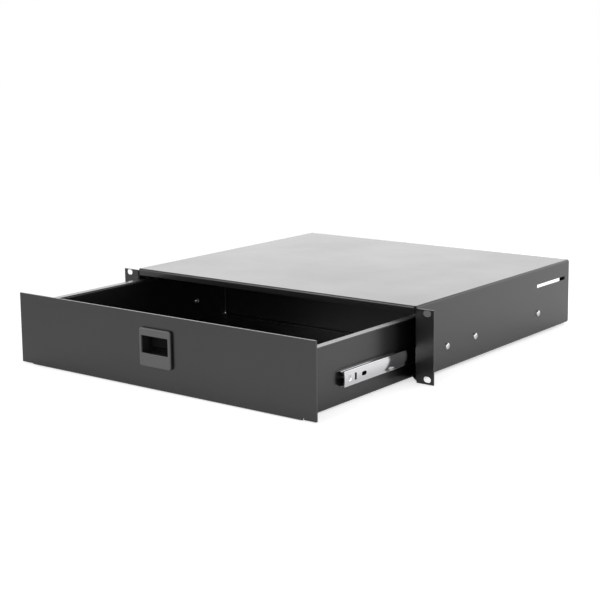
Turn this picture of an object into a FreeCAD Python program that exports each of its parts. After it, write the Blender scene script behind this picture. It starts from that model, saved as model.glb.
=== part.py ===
"""Sliding rack drawer, two rack units high, for a 19-inch rack.

A folded steel case bolts to the rack by its two ears.  A folded tray with a
wide front panel runs in it on two ball-bearing slides.  A flush finger latch
in the panel hooks behind the case's front lip when the drawer is shut.

Frame, in millimetres: the origin is the centre of the four ear slots, on the
ears' rear face, which is the face that lies on the rack.  +X is to the right
seen from the front, +Y is into the rack and +Z is up.  The drawer is modelled
part way out.
"""
import FreeCAD, Part
import math
import os

Vector = FreeCAD.Vector

# ---- driving dimensions -------------------------------------------------
# rack standard
slot_pitch_x = 465.1
slot_pitch_z = 76.2
slot_length = 10.0
slot_height = 7.0
ear_span = 482.6

# case
case_width = 435.0
case_depth = 380.0
case_sheet = 1.5
case_bend = 1.0
case_top_z = 44.5
case_bottom_z = -41.1
ear_bottom_z = -43.6
ear_top_z = 42.4
lip_height = 8.6
lip_half_width = 214.5
bottom_flange_width = 12.5
bottom_flange_rear_gap = 20.0
rear_flange_width = 14.0
support_slot_length = 77.4
support_slot_height = 4.6
support_slot_z = 21.4
support_slot_rear_gap = 14.0

# slides
slide_z = -14.0
cabinet_slide_front_y = 56.5
cabinet_slide_length = 300.0
cabinet_slide_height = 26.0
cabinet_slide_sheet = 1.5
slide_screw_steps = (9.0, 73.0, 233.0)
drawer_slide_height = 18.0
drawer_slide_length = 286.0
drawer_slide_setback = 68.0
drawer_slide_sheet = 1.0
drawer_slide_web_x = 210.2
drawer_slide_screw_steps = (9.5, 225.0)
drawer_slide_crown = 0.4
drawer_slide_crown_half = 4.2
web_slot_width = 3.6
web_slot_height = 8.0
long_hole_length = 9.0
long_hole_height = 4.6
race_depth = 1.0
race_flat = 2.75
ball_diameter = 3.175
ball_step = 16.0
balls_in_row = 4
cage_length = 66.0
cage_front_y = 74.25
cage_sheet = 0.7
bumper_length = 5.4

# drawer
travel_to_shut = 193.3
shut_gap = 0.2
panel_width = 448.0
panel_sheet = 2.0
panel_bottom_z = -42.9
panel_wing_bottom_z = -42.15
panel_top_z = 43.2
panel_body_half = 205.5
panel_relief = 2.0
tray_width = 407.0
tray_sheet = 1.2
tray_bend = 1.0
tray_length = 350.0
end_flange = 10.0
tray_bottom_z = -42.8
tray_top_z = 31.1
tray_flange_reach = 213.2
panel_stud_x = 150.0
panel_stud_z = (-25.0, 15.0)

# latch
latch_x = 2.0
bezel_width = 46.8
bezel_height = 43.8
bezel_mid_z = 5.1
bezel_proud = 4.0
bezel_corner = 3.0
window_width = 40.5
window_height = 20.2
window_mid_z = 8.4
latch_body_width = 44.0
latch_body_height = 39.4
latch_depth = 18.0
latch_wall = 1.5
pin_z = 17.9
pin_setback = 8.5
pin_diameter = 2.4
pin_half = 21.2
trigger_width = 34.0
trigger_drop = 13.0
trigger_arm = 12.0
trigger_arm_tilt = 18.0
bolt_width = 23.0
bolt_sheet = 2.0
bolt_top_z = 41.4
bolt_drop = 7.0

# fasteners
screw_diameter = 4.0
screw_hole = 4.3
head_diameter = 8.0
head_height = 2.4

# ---- worked out from them -----------------------------------------------
case_half = case_width / 2.0
case_front_y = -case_sheet
case_rear_y = case_front_y + case_depth
case_round = case_bend + case_sheet
slot_x = slot_pitch_x / 2.0
slot_z = slot_pitch_z / 2.0
ear_half = ear_span / 2.0

panel_rear_y = case_front_y - shut_gap - travel_to_shut
panel_front_y = panel_rear_y - panel_sheet
tray_half = tray_width / 2.0
tray_rear_y = panel_rear_y + tray_length
tray_front_wall_y = panel_rear_y + tray_sheet

cabinet_web_x = case_half - case_sheet
cabinet_slide_rear_y = cabinet_slide_front_y + cabinet_slide_length
drawer_slide_front_y = panel_front_y + drawer_slide_setback
drawer_slide_rear_y = drawer_slide_front_y + drawer_slide_length
race_mid_x = tray_half + (drawer_slide_web_x - tray_half) / 2.0
race_floor = drawer_slide_height / 2.0 - race_depth
race_roof = cabinet_slide_height / 2.0 - cabinet_slide_sheet
ball_rise = (race_floor + race_roof) / 2.0

latch_back_y = panel_front_y + latch_depth
pin_y = panel_front_y + pin_setback
bolt_front_y = latch_back_y + 0.4


# ---- making sheet metal --------------------------------------------------
def unit(start, end):
    """Unit vector from one 2D point to another, and the distance."""
    run = (end[0] - start[0], end[1] - start[1])
    length = math.hypot(run[0], run[1])
    return (run[0] / length, run[1] / length), length


def left_of(direction):
    """The 2D direction a quarter turn to the left."""
    return (-direction[1], direction[0])


def shifted(point, direction, distance):
    """A 2D point moved along a direction."""
    return (point[0] + direction[0] * distance, point[1] + direction[1] * distance)


def bend_sides(before, corner, after, thickness, inside_radius):
    """Start, middle and end of one bend, on the left and right face of the sheet."""
    entry, _ = unit(before, corner)
    leave, _ = unit(corner, after)
    turn = math.atan2(entry[0] * leave[1] - entry[1] * leave[0],
                      entry[0] * leave[0] + entry[1] * leave[1])
    side = 1.0 if turn > 0 else -1.0
    radius = inside_radius + thickness / 2.0
    tangent = radius * math.tan(abs(turn) / 2.0)
    first = shifted(corner, entry, -tangent)
    last = shifted(corner, leave, tangent)
    normal_in = left_of(entry)
    normal_out = left_of(leave)
    middle, _ = unit((0.0, 0.0), (normal_in[0] + normal_out[0], normal_in[1] + normal_out[1]))
    centre = shifted(first, normal_in, side * radius)
    peak = shifted(centre, middle, -side * radius)
    half = thickness / 2.0
    left = [shifted(first, normal_in, half), shifted(peak, middle, half),
            shifted(last, normal_out, half)]
    right = [shifted(first, normal_in, -half), shifted(peak, middle, -half),
             shifted(last, normal_out, -half)]
    return left, right


def sheet_face(path, thickness, inside_radius, place):
    """Cross-section of a sheet bent along a path of 2D points on its mid-plane."""
    half = thickness / 2.0
    heading, _ = unit(path[0], path[1])
    left = [[shifted(path[0], left_of(heading), half)]]
    right = [[shifted(path[0], left_of(heading), -half)]]
    for before, corner, after in zip(path, path[1:], path[2:]):
        left_bend, right_bend = bend_sides(before, corner, after, thickness, inside_radius)
        left.append(left_bend)
        right.append(right_bend)
    heading, _ = unit(path[-2], path[-1])
    left.append([shifted(path[-1], left_of(heading), half)])
    right.append([shifted(path[-1], left_of(heading), -half)])
    edges = []
    chain = left + [list(reversed(bend)) for bend in reversed(right)]
    last = None
    for piece in chain + [chain[0]]:
        points = [place(*point) for point in piece]
        if last is not None:
            edges.append(Part.LineSegment(last, points[0]).toShape())
        if len(points) == 3:
            edges.append(Part.Arc(*points).toShape())
        last = points[-1]
    return Part.Face(Part.Wire(edges))


def along_y(path, thickness, inside_radius, front, rear):
    """Sheet with its section in X and Z, running from front to rear."""
    face = sheet_face(path, thickness, inside_radius, lambda x, z: Vector(x, front, z))
    return face.extrude(Vector(0, rear - front, 0))


def along_x(path, thickness, inside_radius, left, right):
    """Sheet with its section in Y and Z, running from left to right."""
    face = sheet_face(path, thickness, inside_radius, lambda y, z: Vector(left, y, z))
    return face.extrude(Vector(right - left, 0, 0))


def along_z(path, thickness, inside_radius, low, high):
    """Sheet with its section in X and Y, standing from low to high."""
    face = sheet_face(path, thickness, inside_radius, lambda x, y: Vector(x, y, low))
    return face.extrude(Vector(0, 0, high - low))


# ---- plain solids ---------------------------------------------------------
def block(x0, x1, y0, y1, z0, z1):
    """Box between two corners."""
    return Part.makeBox(x1 - x0, y1 - y0, z1 - z0, Vector(x0, y0, z0))


def rod_x(x0, x1, y, z, diameter):
    """Cylinder along X."""
    return Part.makeCylinder(diameter / 2.0, x1 - x0, Vector(x0, y, z), Vector(1, 0, 0))


def rod_y(x, y0, y1, z, diameter):
    """Cylinder along Y."""
    return Part.makeCylinder(diameter / 2.0, y1 - y0, Vector(x, y0, z), Vector(0, 1, 0))


def rounded_plate(x, z, width, height, corner, y0, y1):
    """Plate facing Y with rounded corners, centred on x and z."""
    plate = block(x - width / 2.0, x + width / 2.0, y0, y1, z - height / 2.0, z + height / 2.0)
    upright = [edge for edge in plate.Edges
               if abs(edge.tangentAt(edge.FirstParameter).y) > 0.99]
    return plate.makeFillet(corner, upright)


def obround_y(x, z, length, height, y0, y1):
    """Round-ended slot cutter through a plate that faces Y, long in X."""
    return rounded_plate(x, z, length, height, height / 2.0 - 0.001, y0, y1)


def mirrored(shape):
    """The same piece on the left-hand side."""
    return shape.mirror(Vector(0, 0, 0), Vector(1, 0, 0))


def fused(first, others):
    """One solid from a main shape and what is folded or moulded on it."""
    return first.fuse(others).removeSplitter()


# ---- case -----------------------------------------------------------------
def housing_shell():
    """Top, sides, ears, lips and flanges, all folded from one sheet."""
    half = case_sheet / 2.0
    wall_x = case_half - half
    roof_z = case_top_z - half
    flange_z = case_bottom_z + half
    flange_x = case_half - bottom_flange_width
    front = case_front_y + case_round
    rear = case_rear_y - case_round
    section = [(-flange_x, flange_z), (-wall_x, flange_z), (-wall_x, roof_z),
               (wall_x, roof_z), (wall_x, flange_z), (flange_x, flange_z)]
    shell = along_y(section, case_sheet, case_bend, front, rear)
    for side in (-1, 1):
        mitre = Part.makePolygon([
            Vector(side * (flange_x - 1), front - 1, case_bottom_z - 1),
            Vector(side * (case_half - case_round), front - 1, case_bottom_z - 1),
            Vector(side * (case_half - case_round), front, case_bottom_z - 1),
            Vector(side * (flange_x - 1), front + bottom_flange_width - case_round + 1,
                   case_bottom_z - 1),
            Vector(side * (flange_x - 1), front - 1, case_bottom_z - 1)])
        shell = shell.cut(Part.Face(mitre).extrude(Vector(0, 0, case_sheet + 2)))
        ends = sorted((side * (flange_x - 1), side * (case_half - case_round)))
        shell = shell.cut(block(ends[0], ends[1], rear - bottom_flange_rear_gap, rear + 1,
                                case_bottom_z - 1, case_bottom_z + case_sheet + 1))

    front_lip = [(case_front_y + half, case_top_z - lip_height), (case_front_y + half, roof_z),
                 (front + 2, roof_z)]
    rear_lip = [(case_rear_y - half, case_top_z - lip_height), (case_rear_y - half, roof_z),
                (rear - 2, roof_z)]
    folds = [along_x(front_lip, case_sheet, case_bend, -lip_half_width, lip_half_width),
             along_x(rear_lip, case_sheet, case_bend, -lip_half_width + rear_flange_width,
                     lip_half_width - rear_flange_width)]

    ear_path = [(wall_x, front + 2), (wall_x, case_front_y + half), (ear_half, case_front_y + half)]
    ear = along_z(ear_path, case_sheet, case_bend, case_bottom_z, case_top_z - case_round)
    ear = ear.fuse(block(case_half + case_bend, ear_half, case_front_y, 0, ear_bottom_z, ear_top_z))
    for z in (-slot_z, slot_z):
        ear = ear.cut(obround_y(slot_x, z, slot_length, slot_height, case_front_y - 1, 1))
    rear_path = [(wall_x, rear - 2), (wall_x, case_rear_y - half),
                 (case_half - rear_flange_width, case_rear_y - half)]
    rear_flange = along_z(rear_path, case_sheet, case_bend, case_bottom_z + case_round,
                          case_top_z - case_round)
    folds += [ear, mirrored(ear), rear_flange, mirrored(rear_flange)]
    shell = fused(shell, folds)

    slot_rear = case_rear_y - support_slot_rear_gap
    slot_front = slot_rear - support_slot_length
    for side in (-1, 1):
        edge = sorted((side * (case_half - case_sheet - 1), side * (case_half + 1)))
        slot = block(edge[0], edge[1], slot_front, slot_rear,
                     support_slot_z - support_slot_height / 2.0,
                     support_slot_z + support_slot_height / 2.0)
        shell = shell.cut(slot)
        for step in slide_screw_steps:
            shell = shell.cut(rod_x(edge[0], edge[1], cabinet_slide_front_y + step, slide_z,
                                    screw_hole))
    return shell


# ---- slides ---------------------------------------------------------------
def cabinet_slide():
    """Outer C channel of the right-hand slide, flat against the case wall."""
    half = cabinet_slide_sheet / 2.0
    web = cabinet_web_x - half
    lip_x = race_mid_x - 2.25
    lip = 1.6
    top = slide_z + cabinet_slide_height / 2.0 - half
    bottom = slide_z - cabinet_slide_height / 2.0 + half
    section = [(lip_x, bottom + lip), (lip_x, bottom), (web, bottom), (web, top),
               (lip_x, top), (lip_x, top - lip)]
    member = along_y(section, cabinet_slide_sheet, 0.5, cabinet_slide_front_y,
                     cabinet_slide_rear_y)
    for step in slide_screw_steps:
        member = member.cut(rod_x(web - 2, web + 2, cabinet_slide_front_y + step, slide_z,
                                  screw_hole))
    return member


def drawer_slide():
    """Inner channel of the right-hand slide: crowned web, a ball groove in each flange."""
    half = drawer_slide_sheet / 2.0
    web = drawer_slide_web_x - half
    crown = web + drawer_slide_crown
    rise = drawer_slide_height / 2.0 - half
    floor = rise - race_depth
    near = race_mid_x - race_flat / 2.0
    far = race_mid_x + race_flat / 2.0
    upper = [(crown, slide_z + drawer_slide_crown_half), (web, slide_z + rise),
             (far + 0.45, slide_z + rise), (far - 0.25, slide_z + floor),
             (near + 0.25, slide_z + floor), (near - 0.45, slide_z + rise),
             (tray_half, slide_z + rise)]
    lower = [(x, 2.0 * slide_z - z) for x, z in upper]
    section = list(reversed(upper)) + lower
    member = along_y(section, drawer_slide_sheet, 0.15, drawer_slide_front_y, drawer_slide_rear_y)
    web_in = drawer_slide_web_x - 3
    web_out = drawer_slide_web_x + 1
    slot_y = drawer_slide_front_y + 20.2
    member = member.cut(block(web_in, web_out, slot_y - web_slot_width / 2.0,
                              slot_y + web_slot_width / 2.0, slide_z - web_slot_height / 2.0,
                              slide_z + web_slot_height / 2.0))
    long_hole_y = drawer_slide_front_y + 36.0
    round_end = (long_hole_length - long_hole_height) / 2.0
    member = member.cut(block(web_in, web_out, long_hole_y - round_end, long_hole_y + round_end,
                              slide_z - long_hole_height / 2.0, slide_z + long_hole_height / 2.0))
    for end in (-round_end, round_end):
        member = member.cut(rod_x(web_in, web_out, long_hole_y + end, slide_z, long_hole_height))
    outer_face = drawer_slide_web_x + drawer_slide_crown
    for y in drawer_screw_places():
        member = member.cut(rod_x(web_in, web_out, y, slide_z, screw_hole))
        countersink = Part.makeCone(screw_hole / 2.0, 3.6, 0.6,
                                    Vector(outer_face - 0.6, y, slide_z), Vector(1, 0, 0))
        member = member.cut(countersink)
    return member


def drawer_screw_places():
    """Where the drawer's wall is screwed to the slide, along Y."""
    return [drawer_slide_front_y + step for step in drawer_slide_screw_steps]


def ball_places():
    """Where the balls of one row sit, along Y."""
    first = cage_front_y + (cage_length - ball_step * (balls_in_row - 1)) / 2.0
    return [first + ball_step * index for index in range(balls_in_row)]


def ball_cage():
    """Thin strip that keeps the right-hand slide's balls apart."""
    half = cage_sheet / 2.0
    web = drawer_slide_web_x + 1.5 + half
    near = race_mid_x - 3.0
    section = [(near, slide_z - ball_rise), (web, slide_z - ball_rise),
               (web, slide_z + ball_rise), (near, slide_z + ball_rise)]
    strip = along_y(section, cage_sheet, 0.3, cage_front_y, cage_front_y + cage_length)
    for y in ball_places():
        pocket = Part.makeCylinder(ball_diameter / 2.0 + 0.2, cabinet_slide_height,
                                   Vector(race_mid_x, y, slide_z - cabinet_slide_height / 2.0))
        strip = strip.cut(pocket)
    return strip


def ball(centre):
    """Bearing ball turned from a twelve-sided outline, which is round enough at its size."""
    outline = []
    for index in range(7):
        turn = math.radians(30.0 * index - 90.0)
        outline.append(Vector(ball_diameter / 2.0 * math.cos(turn), 0,
                              ball_diameter / 2.0 * math.sin(turn)))
    half_disc = Part.Face(Part.makePolygon(outline + outline[:1]))
    turned = half_disc.revolve(Vector(0, 0, 0), Vector(0, 0, 1), 360.0)
    turned.translate(centre)
    return turned


def bearing_balls():
    """The balls of the right-hand slide, an upper and a lower row."""
    balls = []
    for y in ball_places():
        for side in (-1, 1):
            balls.append(ball(Vector(race_mid_x, y, slide_z + side * ball_rise)))
    return Part.makeCompound(balls)


def slide_bumper():
    """Rubber buffer at the rear of the cabinet channel, which the drawer channel meets."""
    inner = cabinet_slide_height / 2.0 - cabinet_slide_sheet
    web_face = cabinet_web_x - cabinet_slide_sheet
    bumper = block(tray_half + 2.0, web_face, cabinet_slide_rear_y - bumper_length,
                   cabinet_slide_rear_y, slide_z - inner + 3.0, slide_z + inner - 3.0)
    upright = [edge for edge in bumper.Edges
               if abs(edge.tangentAt(edge.FirstParameter).z) > 0.99
               and edge.CenterOfMass.x < web_face - 1]
    return bumper.makeFillet(1.5, upright)


# ---- drawer ----------------------------------------------------------------
def drawer_tray():
    """Floor, side walls and top flanges, folded from one sheet."""
    half = tray_sheet / 2.0
    wall = tray_half - half
    floor = tray_bottom_z + half
    top = tray_top_z - half
    section = [(-tray_flange_reach, top), (-wall, top), (-wall, floor), (wall, floor),
               (wall, top), (tray_flange_reach, top)]
    body = along_y(section, tray_sheet, tray_bend, panel_rear_y, tray_rear_y)
    for side in (-1, 1):
        edge = sorted((side * (tray_half - tray_sheet - 1), side * (tray_half + 1)))
        for y in drawer_screw_places():
            body = body.cut(rod_x(edge[0], edge[1], y, slide_z, screw_hole))
    return body


def end_wall(outer_y, inward):
    """Wall across the tray with flanges welded to its floor and sides.

    outer_y is the wall's outer face and inward is 1 or -1, the way its flanges point.
    """
    half = tray_sheet / 2.0
    inner_half = tray_half - tray_sheet
    inner_floor = tray_bottom_z + tray_sheet
    corner = tray_bend + tray_sheet
    mid_y = outer_y + inward * half
    flange_y = outer_y + inward * end_flange
    side_low = inner_floor + corner + 2.0
    side_high = tray_top_z - corner
    foot = along_x([(mid_y, tray_top_z - 0.2), (mid_y, inner_floor + half),
                    (flange_y, inner_floor + half)],
                   tray_sheet, tray_bend, -inner_half + corner, inner_half - corner)
    folds = []
    for side in (-1, 1):
        folds.append(along_z([(side * (inner_half - half), flange_y),
                              (side * (inner_half - half), mid_y),
                              (side * (inner_half - corner - 1.0), mid_y)],
                             tray_sheet, tray_bend, side_low, side_high))
    return fused(foot, folds)


def tray_front_wall():
    """Front end wall, behind the panel, open for the latch and the panel's studs."""
    wall = end_wall(panel_rear_y, 1)
    wall = wall.cut(rounded_plate(latch_x, bezel_mid_z, latch_body_width + 0.6,
                                  latch_body_height + 0.6, 1.5, panel_rear_y - 1,
                                  tray_front_wall_y + 1))
    for x in (-panel_stud_x, panel_stud_x):
        for z in panel_stud_z:
            wall = wall.cut(rod_y(x, panel_rear_y - 1, tray_front_wall_y + 1, z, screw_hole))
    return wall


def tray_rear_wall():
    """Rear end wall."""
    return end_wall(tray_rear_y, -1)


def front_panel():
    """Flat panel, wider than the case, with relief notches where the tray's floor ends."""
    half = panel_width / 2.0
    panel = block(-half, half, panel_front_y, panel_rear_y, panel_wing_bottom_z, panel_top_z)
    sill = block(-panel_body_half, panel_body_half, panel_front_y, panel_rear_y,
                 panel_bottom_z, panel_wing_bottom_z + 1)
    panel = fused(panel, [sill])
    upright = [edge for edge in panel.Edges
               if abs(edge.tangentAt(edge.FirstParameter).y) > 0.99
               and abs(edge.CenterOfMass.x) > half - 1]
    panel = panel.makeFillet(0.8, upright)
    for side in (-1, 1):
        notch = sorted((side * panel_body_half, side * (panel_body_half + panel_relief)))
        panel = panel.cut(block(notch[0], notch[1], panel_front_y - 1, panel_rear_y + 1,
                                panel_bottom_z - 1, panel_wing_bottom_z + panel_relief))
    return panel.cut(rounded_plate(latch_x, bezel_mid_z, latch_body_width + 0.4,
                                   latch_body_height + 0.4, 1.5, panel_front_y - 1,
                                   panel_rear_y + 1))


def panel_studs():
    """Threaded studs on the panel's back, flush with its face."""
    studs = []
    for x in (-panel_stud_x, panel_stud_x):
        for z in panel_stud_z:
            studs.append(rod_y(x, panel_rear_y, panel_rear_y + 9.0, z, screw_diameter))
    return Part.makeCompound(studs)


def panel_nuts():
    """Hexagon nuts that clamp the tray's front wall to the panel."""
    across_corners = 8.1
    nuts = []
    for x in (-panel_stud_x, panel_stud_x):
        for z in panel_stud_z:
            corners = []
            for index in range(7):
                turn = math.radians(60.0 * index)
                corners.append(Vector(x + across_corners / 2.0 * math.cos(turn),
                                      tray_front_wall_y,
                                      z + across_corners / 2.0 * math.sin(turn)))
            nut = Part.Face(Part.makePolygon(corners)).extrude(Vector(0, 3.2, 0))
            nuts.append(nut.cut(rod_y(x, tray_front_wall_y - 1, tray_front_wall_y + 5, z,
                                      screw_diameter + 0.1)))
    return Part.makeCompound(nuts)


# ---- fasteners of the slides ------------------------------------------------
def pan_screw(seat, outward, length):
    """Pan-head screw with its head on a seat point, shank going the other way."""
    head = Part.makeCylinder(head_diameter / 2.0, head_height, seat, outward)
    rim = [edge for edge in head.Edges
           if edge.Closed and (edge.CenterOfMass - seat).Length > head_height / 2.0]
    head = head.makeChamfer(1.1, rim)
    shank = Part.makeCylinder(screw_diameter / 2.0, length, seat, outward * -1)
    recess = Part.makeCone(0.9, 1.9, 1.4, seat + outward * (head_height - 1.4), outward)
    return head.fuse(shank).removeSplitter().cut(recess)


def cabinet_slide_screws():
    """Three screws from outside the case into the cabinet channel."""
    screws = []
    for step in slide_screw_steps:
        seat = Vector(case_half, cabinet_slide_front_y + step, slide_z)
        screws.append(pan_screw(seat, Vector(1, 0, 0), case_sheet + cabinet_slide_sheet + 0.6))
    return Part.makeCompound(screws)


def drawer_slide_screws():
    """Two screws from inside the tray into the drawer channel."""
    inner_face = tray_half - tray_sheet
    screws = []
    for y in drawer_screw_places():
        seat = Vector(inner_face, y, slide_z)
        screws.append(pan_screw(seat, Vector(-1, 0, 0), drawer_slide_web_x - inner_face - 0.5))
    return Part.makeCompound(screws)


# ---- latch, each piece about X = 0, moved to its place when it is written ---
def latch_housing():
    """Die-cast bezel with a hollow body behind it, open at the finger window."""
    bezel = rounded_plate(0.0, bezel_mid_z, bezel_width, bezel_height, bezel_corner,
                          panel_front_y - bezel_proud, panel_front_y)
    rim = [edge for edge in bezel.Edges
           if edge.CenterOfMass.y < panel_front_y - bezel_proud + 0.01]
    bezel = bezel.makeFillet(1.2, rim)
    body = rounded_plate(0.0, bezel_mid_z, latch_body_width, latch_body_height, 1.0,
                         panel_front_y - 0.5, latch_back_y)
    cavity = rounded_plate(0.0, window_mid_z + 1.5, window_width, window_height + 7.0, 1.0,
                           panel_front_y - bezel_proud + 2.0, latch_back_y - latch_wall)
    window = rounded_plate(0.0, window_mid_z, window_width, window_height, 1.2,
                           panel_front_y - bezel_proud - 1, panel_front_y + 1)
    body = fused(bezel, [body]).cut(cavity).cut(window)
    guides = []
    for side in (-1, 1):
        inner = bolt_width / 2.0 + 0.5
        edges = sorted((side * inner, side * (inner + 9.0)))
        guides.append(block(edges[0], edges[1], latch_back_y - 0.5, bolt_front_y + bolt_sheet + 0.5,
                            bezel_mid_z - 14.0, bezel_mid_z - 2.0))
    body = fused(body, guides)
    arm_slot = block(-5.5, 5.5, latch_back_y - latch_wall - 1, latch_back_y + 1,
                     pin_z - 6.5, pin_z + 5.5)
    body = body.cut(arm_slot)
    body = body.cut(rod_x(-pin_half - 0.2, pin_half + 0.2, pin_y, pin_z, pin_diameter))
    for side in (-1, 1):
        body = body.cut(rod_y(side * 17.0, latch_back_y - 1.3, latch_back_y + 6.0,
                              bezel_mid_z - 8.0, 3.0))
    return body


def latch_back_plate():
    """Folded bridge that clamps the latch body against the panel and guides the bolt."""
    half = tray_sheet / 2.0
    foot = tray_front_wall_y + half
    bridge = bolt_front_y + bolt_sheet + 0.5 + half
    leg = latch_body_width / 2.0 + 2.0
    section = [(-leg - 8.0, foot), (-leg, foot), (-leg, bridge), (leg, bridge), (leg, foot),
               (leg + 8.0, foot)]
    plate = along_z(section, tray_sheet, 0.8, bezel_mid_z - 14.0, bezel_mid_z - 2.0)
    for side in (-1, 1):
        plate = plate.cut(rod_y(side * 17.0, bridge - 2.0, bridge + 2.0, bezel_mid_z - 8.0, 3.3))
    return plate


def latch_screws():
    """Two screws through the back plate into the latch body."""
    bridge_rear = bolt_front_y + bolt_sheet + 0.5 + tray_sheet
    screws = []
    for side in (-1, 1):
        head = rod_y(side * 17.0, bridge_rear, bridge_rear + 1.8, bezel_mid_z - 8.0, 5.5)
        shank = rod_y(side * 17.0, latch_back_y - 1.1, bridge_rear, bezel_mid_z - 8.0, 2.9)
        screws.append(head.fuse(shank).removeSplitter())
    return Part.makeCompound(screws)


def latch_pivot_pin():
    """Steel pin across the latch body that the trigger turns on."""
    return rod_x(-pin_half, pin_half, pin_y, pin_z, pin_diameter - 0.02)


def latch_trigger():
    """Finger flap that hangs from the pin, with a hub and an arm that works the bolt."""
    hub_diameter = 5.6
    flap_thickness = 2.6
    left = -trigger_width / 2.0
    right = trigger_width / 2.0
    hub = rod_x(left, right, pin_y, pin_z, hub_diameter)
    flap = block(left, right, pin_y - flap_thickness / 2.0, pin_y + flap_thickness / 2.0,
                 pin_z - trigger_drop, pin_z)
    grip = rod_x(left, right, pin_y, pin_z - trigger_drop, flap_thickness + 0.8)
    arm = block(-4.5, 4.5, pin_y, pin_y + trigger_arm, pin_z - 1.2, pin_z + 1.2)
    arm = arm.rotate(Vector(0, pin_y, pin_z), Vector(1, 0, 0), trigger_arm_tilt)
    trigger = fused(hub, [flap, grip, arm])
    return trigger.cut(rod_x(left - 1, right + 1, pin_y, pin_z, pin_diameter + 0.1))


def latch_trigger_spring():
    """Torsion spring of six-sided wire wound round the pin beside the trigger."""
    wire = 0.7
    turns = 2.5
    pitch = 0.9
    radius = pin_diameter / 2.0 + wire / 2.0
    start = trigger_width / 2.0 + 0.6
    helix = Part.makeHelix(pitch, pitch * turns, radius)
    corners = []
    for index in range(7):
        turn = math.radians(60.0 * index)
        corners.append(Vector(radius + wire / 2.0 * math.cos(turn), 0, wire / 2.0 * math.sin(turn)))
    coil = Part.Wire(helix.Edges).makePipeShell([Part.makePolygon(corners)], True, True)
    coil.rotate(Vector(0, 0, 0), Vector(0, 1, 0), 90)
    coil.translate(Vector(start, pin_y, pin_z))
    return coil


def latch_bolt():
    """Folded steel hook that slides behind the latch and catches the case's lip."""
    half = bolt_sheet / 2.0
    slide_y = bolt_front_y + half
    shelf_z = bezel_mid_z + latch_body_height / 2.0 + bolt_drop + 0.5 + half
    hook_y = panel_rear_y + 2.5 + half
    low = bezel_mid_z - 16.0
    blade = along_x([(slide_y, low), (slide_y, shelf_z), (hook_y, shelf_z), (hook_y, bolt_top_z)],
                    bolt_sheet, 0.8, -bolt_width / 2.0, bolt_width / 2.0)
    window = block(-5.5, 5.5, bolt_front_y - 1, bolt_front_y + bolt_sheet + 1,
                   pin_z + 1.8, pin_z + 5.9)
    shoulder = 6.0
    for side in (-1, 1):
        edge = sorted((side * shoulder, side * (bolt_width / 2.0 + 1)))
        blade = blade.cut(block(edge[0], edge[1], hook_y - 3, hook_y + 3,
                                shelf_z + half, bolt_top_z + 1))
    tip = [edge for edge in blade.Edges
           if edge.CenterOfMass.z > bolt_top_z - 0.01 and edge.CenterOfMass.y > hook_y]
    return blade.cut(window).makeChamfer(1.2, tip) if tip else blade.cut(window)


# ---- export -----------------------------------------------------------------
pieces = {
    "housing_shell": housing_shell(),
    "drawer_tray": drawer_tray(),
    "tray_front_wall": tray_front_wall(),
    "tray_rear_wall": tray_rear_wall(),
    "front_panel": front_panel(),
    "front_panel_studs": panel_studs(),
    "front_panel_nuts": panel_nuts(),
    "latch_housing": latch_housing(),
    "latch_back_plate": latch_back_plate(),
    "latch_screws": latch_screws(),
    "latch_pivot_pin": latch_pivot_pin(),
    "latch_trigger": latch_trigger(),
    "latch_trigger_spring": latch_trigger_spring(),
    "latch_bolt": latch_bolt(),
}
handed_pieces = {
    "cabinet_slide": cabinet_slide(),
    "cabinet_slide_screws": cabinet_slide_screws(),
    "slide_bumper": slide_bumper(),
    "drawer_slide": drawer_slide(),
    "drawer_slide_screws": drawer_slide_screws(),
    "ball_cage": ball_cage(),
    "bearing_balls": bearing_balls(),
}
for name, shape in handed_pieces.items():
    pieces[name + "_right"] = shape
    pieces[name + "_left"] = mirrored(shape)
for name in pieces:
    if name.startswith("latch_"):
        pieces[name].translate(Vector(latch_x, 0, 0))

os.makedirs("parts", exist_ok=True)
for name, shape in sorted(pieces.items()):
    if not shape.isValid():
        raise ValueError(name + " is not a valid shape")
    shape.exportStep("parts/" + name + ".step")
    print(name, len(shape.Solids), round(shape.Volume, 1))
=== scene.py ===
"""Sliding rack drawer: finishes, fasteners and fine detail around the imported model.

A black powder-coated steel case with two slotted ears, a drawer half out of it
on zinc-plated ball-bearing slides, and a flush finger latch in its wide front.
"""
import math

import bmesh
import bpy
from mathutils import Matrix, Vector


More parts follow.
